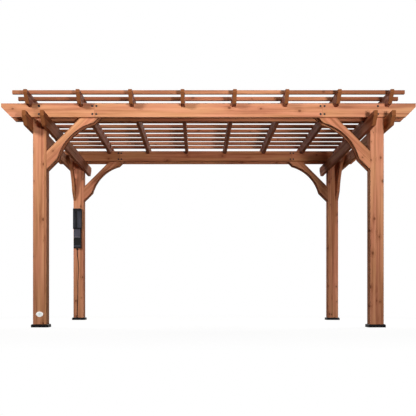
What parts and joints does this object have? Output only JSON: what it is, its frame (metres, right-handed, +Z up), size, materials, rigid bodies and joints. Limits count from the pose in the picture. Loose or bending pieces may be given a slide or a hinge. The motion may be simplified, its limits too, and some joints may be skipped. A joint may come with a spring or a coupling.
{
  "type": "wooden pergola",
  "caption": "Open timber pergola: posts in black shoes carry paired beams, arched knee braces, notched rafters and shade slats, with a power unit on one post.",
  "frame": {"origin": "on the ground, at the middle of the four posts", "axes": "+X along the long beams to the right, +Y from the front to the back, +Z up"},
  "size_m": [4.226, 3.2, 2.405],
  "materials": {
    "timber": "satin stained",
    "shoe": "matt",
    "power_housing": "matt",
    "power_hood": "satin",
    "power_lid": "satin",
    "power_cord": "matt"
  },
  "bodies": {
    "root": {"post_front_left": "timber", "post_front_right": "timber", "post_back_left": "timber", "post_back_right": "timber", "beam_front_outer": "timber", "beam_front_inner": "timber", "beam_back_inner": "timber", "beam_back_outer": "timber", "side_beam_left_outer": "timber", "side_beam_left_inner": "timber", "side_beam_right_inner": "timber", "side_beam_right_outer": "timber", "cross_brace_front_left": "timber", "cross_brace_front_right": "timber", "cross_brace_back_left": "timber", "cross_brace_back_right": "timber", "side_brace_front_left": "timber", "side_brace_front_right": "timber", "side_brace_back_left": "timber", "side_brace_back_right": "timber", "rafter_1": "timber", "rafter_2": "timber", "rafter_3": "timber", "rafter_4": "timber", "rafter_5": "timber", "rafter_6": "timber", "rafter_7": "timber", "rafter_8": "timber", "slat_01": "timber", "slat_02": "timber", "slat_03": "timber", "slat_04": "timber", "slat_05": "timber", "slat_06": "timber", "slat_07": "timber", "slat_08": "timber", "slat_09": "timber", "slat_10": "timber", "slat_11": "timber", "slat_12": "timber", "shoe_front_left": "shoe", "shoe_front_right": "shoe", "shoe_back_left": "shoe", "shoe_back_right": "shoe", "power_housing": "power_housing", "power_hood": "power_hood", "power_lid": "power_lid", "power_cord": "power_cord"}
  },
  "joints": []
}
